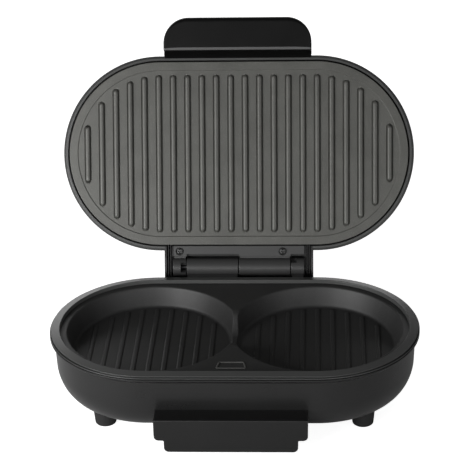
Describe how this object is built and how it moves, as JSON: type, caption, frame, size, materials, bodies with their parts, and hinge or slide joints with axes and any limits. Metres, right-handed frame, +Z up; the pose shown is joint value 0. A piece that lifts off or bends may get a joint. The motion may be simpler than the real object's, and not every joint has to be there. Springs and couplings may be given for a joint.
{
  "type": "omelette maker",
  "caption": "Open double omelette maker: stadium-shaped base with two round ribbed pans, ribbed lid on a rear pin hinge, front grips on lid and base, four feet.",
  "frame": {"origin": "on the surface the feet stand on, under the middle of the open appliance's box", "axes": "+X to the user's right, +Y to the back where the hinge is, +Z up"},
  "size_m": [0.312, 0.288, 0.2786],
  "materials": {
    "housing": "satin black",
    "rim": "satin dark grey",
    "lower_coating": "black non-stick coating on cast aluminium",
    "upper_coating": "grey non-stick coating on cast aluminium",
    "grip": "matt black",
    "hinge": "satin dark grey",
    "pin": "zinc plated",
    "screw": "blackened",
    "element": "oxidised sheath",
    "reflector": "bright sheet",
    "thermostat": "plated can",
    "ceramic": "unglazed ceramic",
    "rubber": "matt black",
    "red_lens": "translucent red",
    "green_lens": "translucent green"
  },
  "bodies": {
    "base": {"lower_housing": "housing", "lower_rim": "rim", "lower_plate": "lower_coating", "lower_handle": "grip", "base_hinge_bracket": "hinge", "base_screw_left": "screw", "base_screw_right": "screw", "hinge_pin": "pin", "lower_heating_element": "element", "lower_reflector": "reflector", "lower_thermostat": "thermostat", "terminal_block": "ceramic", "cord_gland": "rubber", "front_left_foot": "rubber", "front_right_foot": "rubber", "rear_left_foot": "rubber", "rear_right_foot": "rubber"},
    "lid": {"upper_housing": "housing", "upper_plate": "upper_coating", "upper_handle": "grip", "lid_hinge_bracket": "hinge", "lid_screw_left": "screw", "lid_screw_right": "screw", "upper_heating_element": "element", "upper_reflector": "reflector", "upper_thermostat": "thermostat", "thermal_fuse": "ceramic", "power_lens": "red_lens", "ready_lens": "green_lens"}
  },
  "joints": [
    {"name": "lid_hinge", "type": "hinge", "parent": "base", "child": "lid", "pos_m": [0, 0.05533, 0.0723], "axis": [1, 0, 0], "range_deg": [0, 112.3]}
  ]
}
